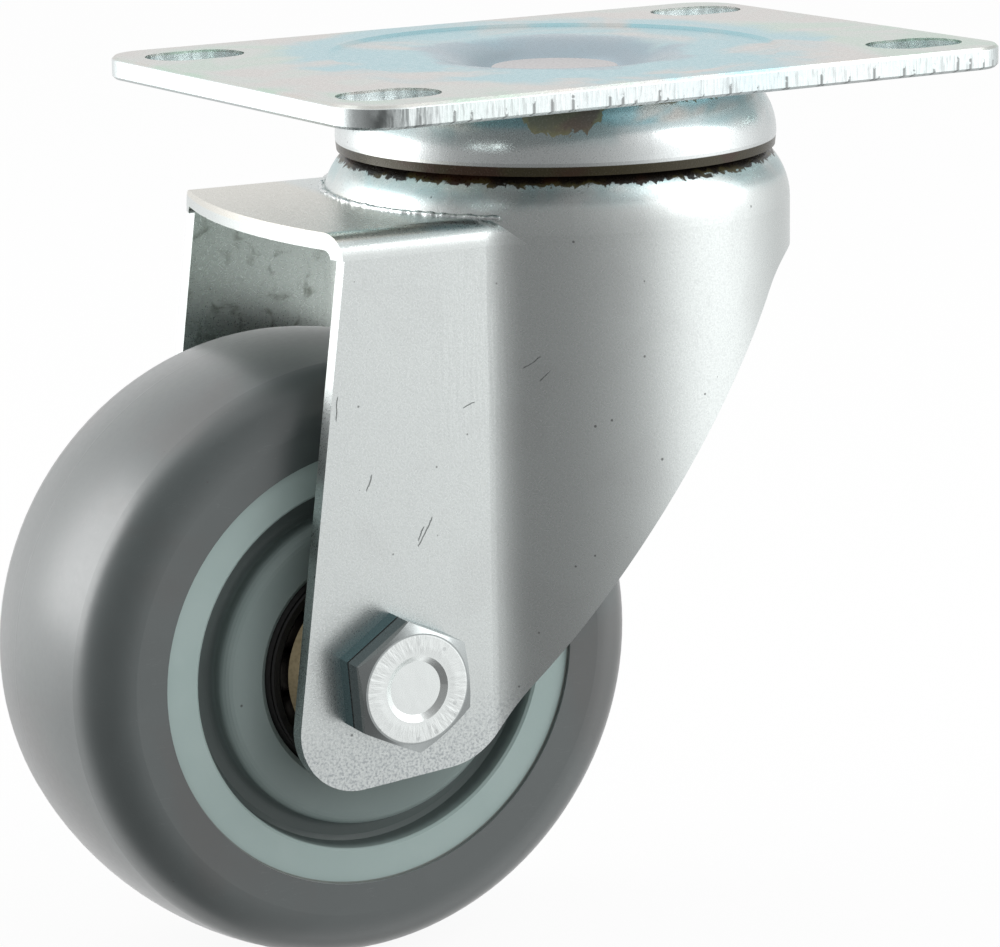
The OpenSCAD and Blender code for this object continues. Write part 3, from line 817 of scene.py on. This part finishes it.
@dataclass(frozen=True)
class Moulded(Finish):
    """Matt moulded plastic or elastomer about the axle, with specks, scuffs, a mould line and painted shade in a
    recess.
    """

    pale: Color = (0.2, 0.2, 0.2)
    stain: Color = (0.12, 0.09, 0.08)
    stain_share: float = 0.0
    speck: Color = (0.05, 0.05, 0.05)
    scuff: Color = (0.6, 0.62, 0.62)
    # Painted shade in the hub's recess
    recess_shade: Color = (0.05, 0.06, 0.06)
    joint: Color = (0.1, 0.07, 0.05)
    coat: float = 0.0
    coat_ior: float = 1.7
    sheen: float = 0.0
    line_mm: float | None = None
    joint_mm: float | None = None
    recess_mm: float | None = None

    def build(self, effects: Effects) -> bpy.types.Material:
        """Builds the material.

        Args:
            effects: the shared effects.

        Returns:
            The material.
        """
        material, sheet, shader, point = self.start()
        sheet.feed(shader.inputs["Coat Weight"], self.coat)
        sheet.feed(shader.inputs["Coat Roughness"], self.roughness)
        sheet.feed(shader.inputs["Coat IOR"], self.coat_ior)
        sheet.feed(shader.inputs["Sheen Weight"], self.sheen)
        sheet.feed(shader.inputs["Sheen Roughness"], self.roughness)
        polar = sheet.place(effects.polar, Vector=point)
        grain = sheet.place(effects.grain, Vector=point, Scale=1.3)
        color = sheet.mix(sheet.span(grain.outputs["Broad"], 0.4, 0.75, 0.0, 0.35), self.color, self.pale)
        cloud = sheet.span(sheet.noise(point, 0.045, 3.0, 0.6), 0.48, 0.62)
        color = sheet.mix(sheet.times(cloud, self.stain_share), color, self.stain)
        specks = sheet.place(effects.specks, Vector=point, Scale=0.35, Size=0.07)
        color = sheet.mix(sheet.times(specks.outputs[0], 0.8), color, self.speck)
        lines = sheet.place(effects.scratches, Vector=point, Width=0.006)
        color = sheet.mix(sheet.times(lines.outputs[0], 0.12), color, self.scuff)
        height = sheet.times(grain.outputs["Fine"], 0.35)
        if self.line_mm is not None:
            line = sheet.band(polar.outputs["Height"], self.line_mm - 0.08, self.line_mm + 0.08, 0.12)
            height = sheet.math("ADD", height, line)
            color = sheet.mix(sheet.times(line, 0.3), color, self.pale)
        # Painted shade: the hub inside the recess is darker, the groove round it darker still.
        if self.recess_mm is not None:
            inner = sheet.span(polar.outputs["Radius"], self.recess_mm, self.recess_mm - 0.3)
            wall = sheet.span(polar.outputs["Radius"], self.recess_mm - 3.3, self.recess_mm - 2.7)
            groove = sheet.times(wall, inner)
            recess_shade = sheet.math("ADD", sheet.times(inner, 0.5), sheet.times(groove, 0.3))
            color = sheet.mix(recess_shade, color, self.recess_shade)
        if self.joint_mm is not None:
            joint = sheet.band(polar.outputs["Radius"], self.joint_mm - 0.12, self.joint_mm + 0.12, 0.12)
            color = sheet.mix(sheet.times(joint, 0.6), color, self.joint)
        sheet.feed(shader.inputs["Base Color"], color)
        self.satin(sheet, shader, grain, 0.04)
        self.bump(sheet, shader, height, 0.035)
        return material


@dataclass(frozen=True)
class GreaseFinish(Finish):
    """Old grease as a mass of its own."""

    orange: Color = (0.23, 0.075, 0.02)
    green: Color = (0.36, 0.31, 0.07)

    def build(self, effects: Effects) -> bpy.types.Material:
        """Builds the material.

        Args:
            effects: the shared effects.

        Returns:
            The material.
        """
        material, sheet, shader, point = self.start()
        smear = sheet.place(effects.grease, Vector=point, Level=0.3)
        color = sheet.mix(smear.outputs["Orange"], self.color, self.orange)
        color = sheet.mix(sheet.times(smear.outputs["Green"], 0.8), color, self.green)
        sheet.feed(shader.inputs["Base Color"], color)
        self.bump(sheet, shader, sheet.noise(point, 1.6, 3.0), 0.15)
        return material


def dress(node: str, material: bpy.types.Material) -> None:
    """Puts one material on a solid of the frame.

    Args:
        node: the solid's name.
        material: the finish it gets.
    """
    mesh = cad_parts[node].data
    mesh.materials.clear()
    mesh.materials.append(material)
    LOG.info("dressed %s with %s", node, material.name)


@dataclass
class Bead:
    """A rough bead laid round the swivel axis, such as grease or a pressed crease."""

    name: str
    radius_mm: float
    height_mm: float
    thick_mm: float
    rough_mm: float
    body: str
    slot: str
    from_deg: float = 0.0
    sweep_deg: float = 360.0
    sides: int = 10
    steps: int = 360
    seed: float = 0.0

    def build(self, material: bpy.types.Material) -> bpy.types.Object:
        """Spins a round section about Z and roughens it.

        Args:
            material: the bead's finish.

        Returns:
            The bead.
        """
        shape = bmesh.new()
        ring = bmesh.ops.create_circle(shape, segments=self.sides, radius=self.thick_mm * MM)["verts"]
        stand = (Matrix.Rotation(math.radians(self.from_deg), 4, "Z")
                 @ Matrix.Translation((self.radius_mm * MM, 0.0, self.height_mm * MM))
                 @ Matrix.Rotation(math.radians(90.0), 4, "X"))
        bmesh.ops.transform(shape, matrix=stand, verts=ring)
        full = self.sweep_deg >= 360.0
        first = list(shape.edges)
        bmesh.ops.spin(shape, geom=list(shape.verts) + first, cent=(0.0, 0.0, 0.0), axis=(0.0, 0.0, 1.0),
                       angle=math.radians(self.sweep_deg), steps=self.steps, use_merge=full)
        if not full:
            bmesh.ops.holes_fill(shape, edges=[edge for edge in shape.edges if edge.is_boundary], sides=0)
        bmesh.ops.recalc_face_normals(shape, faces=shape.faces)
        for vertex in shape.verts:
            place = vertex.co / MM
            push = noise.noise(Vector((place.x, place.y, place.z + self.seed)) * 0.9)
            push += 0.5 * noise.noise(Vector((place.x + self.seed, place.y, place.z)) * 2.6)
            vertex.co += vertex.normal * push * self.rough_mm * MM
        for face in shape.faces:
            face.smooth = len(face.verts) == 4
        mesh = bpy.data.meshes.new(self.name)
        shape.to_mesh(mesh)
        shape.free()
        mesh.materials.append(material)
        made = add_object(self.name, mesh)
        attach(made, self.body)
        return made


@dataclass
class SwivelHead:
    """Fixing plate, cup, races and kingpin."""

    plate: PlateZinc = PlateZinc("plate_zinc", (0.68, 0.71, 0.67), 0.24, 1.0)
    cup: CupZinc = CupZinc("cup_zinc", (0.84, 0.88, 0.88), 0.25, 1.0, tint_low_mm=-9.0, tint_high_mm=-6.0,
                           grease_low_mm=-6.6, grease_high_mm=-5.4, grease=(0.15, 0.125, 0.04))
    pin: PlainMetal = PlainMetal("kingpin_zinc", (0.70, 0.68, 0.68), 0.4, 1.0)
    steel: PlainMetal = PlainMetal("race_steel", (0.55, 0.55, 0.56), 0.3, 1.0)

    def build(self, effects: Effects) -> None:
        """Dresses the head's solids.

        Args:
            effects: the shared effects.
        """
        dress("top_plate", self.plate.build(effects))
        dress("race_cup", self.cup.build(effects))
        dress("kingpin", self.pin.build(effects))
        steel = self.steel.build(effects)
        for node in ("lower_race", "upper_balls", "lower_balls"):
            dress(node, steel)


@dataclass
class PressedFork:
    """The fork, the crease and the grease round its crown, and the axle's bolt, nut and sleeve."""

    sheet: SheetZinc = SheetZinc("fork_zinc", (0.76, 0.80, 0.79), 0.3, 1.0, Place.FORK, on_fork=True)
    # The crease's bead is lighter than the fork's zinc: a painted highlight.
    bright: PlainMetal = PlainMetal("crease_highlight_zinc", (0.86, 0.90, 0.90), 0.25, 1.0, dark_share=0.6)
    bolt: HexZinc = HexZinc("bolt_zinc", (0.93, 0.97, 0.96), 0.24, 1.0, Place.WHEEL)
    nut: PlainMetal = PlainMetal("nut_zinc", (0.74, 0.78, 0.78), 0.24, 1.0)
    sleeve: PlainMetal = PlainMetal("sleeve_steel", (0.5, 0.5, 0.48), 0.4, 1.0)
    nylon: PlainMetal = PlainMetal("insert_nylon", (0.75, 0.76, 0.7), 0.5, dark_share=0.1)
    grease: GreaseFinish = GreaseFinish("race_grease", (0.03, 0.02, 0.012), 0.22)
    crease: Bead = field(default_factory=lambda: Bead("crown_crease", 28.75, -16.05, 0.32, 0.14, "fork", "fork",
                                                      from_deg=128.0, sweep_deg=96.0, steps=300))
    packing: Bead = field(default_factory=lambda: Bead("race_grease", 24.95, -11.35, 0.42, 0.22, "fork", "races",
                                                       seed=7.0))

    def build(self, effects: Effects) -> None:
        """Dresses the fork's solids and lays the two beads.

        Args:
            effects: the shared effects.
        """
        dress("fork", self.sheet.build(effects))
        dress("axle_bolt", self.bolt.build(effects))
        dress("axle_nut", self.nut.build(effects))
        dress("axle_sleeve", self.sleeve.build(effects))
        dress("nut_insert", self.nylon.build(effects))
        self.crease.build(self.bright.build(effects))
        self.packing.build(self.grease.build(effects))


@dataclass
class WheelSet:
    """Tread, core and the two bearings."""

    tread: Moulded = Moulded("tread_grey", (0.078, 0.096, 0.096), 0.34, place=Place.WHEEL, coat=0.9, sheen=0.7,
                             pale=(0.10, 0.12, 0.12), stain=(0.085, 0.072, 0.068), stain_share=0.35, line_mm=4.0)
    core: Moulded = Moulded("core_grey_green", (0.45, 0.57, 0.55), 0.45, place=Place.WHEEL,
                            pale=(0.53, 0.64, 0.62), joint_mm=26.5, recess_mm=22.4)
    black: PlainMetal = PlainMetal("bearing_black", (0.03, 0.03, 0.03), 0.35, 0.6)
    yellow: PlainMetal = PlainMetal("collar_yellow", (0.5, 0.42, 0.26), 0.35, 1.0)
    steel: PlainMetal = PlainMetal("ball_steel", (0.08, 0.07, 0.06), 0.45, 0.5)

    def build(self, effects: Effects) -> None:
        """Dresses the wheel's solids.

        Args:
            effects: the shared effects.
        """
        dress("tread", self.tread.build(effects))
        dress("wheel_core", self.core.build(effects))
        black = self.black.build(effects)
        yellow = self.yellow.build(effects)
        steel = self.steel.build(effects)
        for side in ("near", "far"):
            dress(f"bearing_outer_{side}", black)
            dress(f"bearing_shield_{side}", black)
            dress(f"bearing_inner_{side}", yellow)
            dress(f"bearing_balls_{side}", steel)


@dataclass
class Studio:
    """Floor, surround, lamps and camera."""

    floor_z: float = -0.1062
    floor_half: float = 6.0
    floor_bounce: Color = (0.5, 0.5, 0.5)
    floor_shown: Color = (0.9, 0.9, 0.9)
    floor_glow: float = 0.93
    camera_place: Vector = field(default_factory=lambda: Vector((-0.260093, -0.400927, 0.057901)))
    focal_px: float = 3950.555
    yaw_deg: float = 32.087
    pitch_deg: float = 13.028
    roll_deg: float = 0.908
    image_width_px: int = 1000
    sensor_mm: float = 36.0
    clip: tuple[float, float] = (0.01, 20.0)
    lamps: tuple[tuple[str, tuple[float, float, float], float, float], ...] = (
        ("lamp_right", (0.5, -0.4, 0.42), 0.6, 2.0), ("lamp_left", (-0.57, 0.46, 0.16), 0.5, 2.2))
    lamp_target: tuple[float, float, float] = (-0.01, 0.0, -0.05)
    surround_strength: float = 1.5
    overhead: float = 0.85
    # Azimuth in degrees and brightness of each point of the surround
    surround: tuple[tuple[float, float], ...] = (
        (-180, 0.38), (-165, 0.32), (-148, 0.27), (-135, 0.27), (-122, 0.28), (-110, 0.32), (-98, 0.4),
        (-88, 0.5), (-80, 0.6), (-72, 0.82), (-65, 1.04), (-56, 1.25), (-46, 1.4), (-30, 1.4), (-18, 1.2),
        (-8, 0.9), (10, 0.7), (25, 0.7), (45, 0.85), (70, 0.85), (96, 0.85), (112, 1.15), (124, 1.4),
        (142, 1.45), (155, 1.3), (165, 0.8), (180, 0.38))

    def camera(self) -> None:
        """Places the camera at the photograph's viewpoint."""
        yaw, pitch, roll = (math.radians(a) for a in (self.yaw_deg, self.pitch_deg, self.roll_deg))
        forward = Vector((math.sin(yaw) * math.cos(pitch), math.cos(yaw) * math.cos(pitch), -math.sin(pitch)))
        level = Vector((math.cos(yaw), -math.sin(yaw), 0.0))
        down = forward.cross(level)
        right = math.cos(roll) * level + math.sin(roll) * down
        lower = -math.sin(roll) * level + math.cos(roll) * down
        data = bpy.data.cameras.new("camera")
        data.sensor_width = self.sensor_mm
        data.lens = self.sensor_mm * self.focal_px / self.image_width_px
        data.clip_start, data.clip_end = self.clip
        rig = add_object("camera", data)
        turn = Matrix((right, -lower, -forward)).transposed()
        rig.matrix_world = Matrix.Translation(self.camera_place) @ turn.to_4x4()
        bpy.context.scene.camera = rig

    def world(self) -> None:
        """White behind the castor, and round it a studio with bright screens to the right and back left."""
        world = bpy.data.worlds.new("studio")
        bpy.context.scene.world = world
        world.use_nodes = True
        world.node_tree.nodes.clear()
        sheet = Sheet(world.node_tree)
        rays = sheet.node("ShaderNodeLightPath")
        x, y, z = sheet.parts(sheet.node("ShaderNodeTexCoord").outputs["Generated"])
        angle = sheet.math("DEGREES", sheet.math("ARCTAN2", y, x))
        ring = sheet.node("ShaderNodeValToRGB")
        while len(ring.color_ramp.elements) < len(self.surround):
            ring.color_ramp.elements.new(0.5)
        for element, (degrees, level) in zip(ring.color_ramp.elements, self.surround):
            element.position = (degrees + 180.0) / 360.0
            element.color = (*[level / self.surround_strength] * 3, 1.0)
        sheet.feed(ring.inputs[0], sheet.math("MULTIPLY", sheet.math("ADD", angle, 180.0), 1.0 / 360.0))
        low = sheet.span(z, -0.32, -0.19, 0.7, 1.0)
        high = sheet.span(z, 0.82, 0.97)
        side = sheet.mix(high, ring.outputs[0], (self.overhead / self.surround_strength,) * 3)
        level = sheet.mix(low, (0.0, 0.0, 0.0), side)
        light = sheet.node("ShaderNodeBackground")
        camera_ray = rays.outputs["Is Camera Ray"]
        sheet.feed(light.inputs["Color"], sheet.mix(camera_ray, level, (1.0, 1.0, 1.0)))
        sheet.feed(light.inputs["Strength"], sheet.span(camera_ray, 0.0, 1.0, self.surround_strength, 1.0))
        output = sheet.node("ShaderNodeOutputWorld")
        sheet.feed(output.inputs["Surface"], light.outputs[0])

    def lamp(self, name: str, place: tuple[float, float, float], size: float, watts: float) -> None:
        """One soft square lamp, turned to the castor.

        Args:
            name: the lamp's name.
            place: where it stands.
            size: the side of its square.
            watts: its power.
        """
        data = bpy.data.lights.new(name, "AREA")
        data.size, data.energy = size, watts
        rig = add_object(name, data)
        rig.location = place
        rig.rotation_mode = "QUATERNION"
        rig.rotation_quaternion = (Vector(self.lamp_target) - Vector(place)).to_track_quat("-Z", "Y")

    def floor(self) -> None:
        """A plain pale floor, white to the camera but for the castor's soft shadow, and clear to reflections."""
        mesh = bpy.data.meshes.new("floor")
        shape = bmesh.new()
        grid = bmesh.ops.create_grid(shape, x_segments=1, y_segments=1, size=self.floor_half)
        bmesh.ops.translate(shape, verts=grid["verts"], vec=(0.0, 0.0, self.floor_z))
        shape.to_mesh(mesh)
        shape.free()
        floor = add_object("floor", mesh)
        material, sheet = blank_material("floor_white")
        rays = sheet.node("ShaderNodeLightPath")
        matt = sheet.node("ShaderNodeBsdfDiffuse")
        camera_ray = rays.outputs["Is Camera Ray"]
        sheet.feed(matt.inputs["Color"], sheet.mix(camera_ray, self.floor_bounce, self.floor_shown))
        seen = sheet.node("ShaderNodeMixShader")
        sheet.feed(seen.inputs[0], sheet.times(camera_ray, self.floor_glow))
        sheet.feed(seen.inputs[1], matt.outputs[0])
        sheet.feed(seen.inputs[2], sheet.node("ShaderNodeEmission").outputs[0])
        clear = sheet.node("ShaderNodeMixShader")
        sheet.feed(clear.inputs[0], rays.outputs["Is Glossy Ray"])
        sheet.feed(clear.inputs[1], seen.outputs[0])
        sheet.feed(clear.inputs[2], sheet.node("ShaderNodeBsdfTransparent").outputs[0])
        output = sheet.node("ShaderNodeOutputMaterial")
        sheet.feed(output.inputs["Surface"], clear.outputs[0])
        mesh.materials.append(material)

    def build(self) -> None:
        """Sets up the whole studio."""
        bpy.context.scene.view_settings.view_transform = "Standard"
        self.camera()
        self.world()
        for lamp in self.lamps:
            self.lamp(*lamp)
        self.floor()


def main() -> None:
    """Builds the castor's looks and the studio."""
    logging.basicConfig(level=logging.INFO, format="%(message)s")
    effects = Effects()
    SwivelHead().build(effects)
    PressedFork().build(effects)
    WheelSet().build(effects)
    Studio().build()


if __name__ == "__main__":
    main()
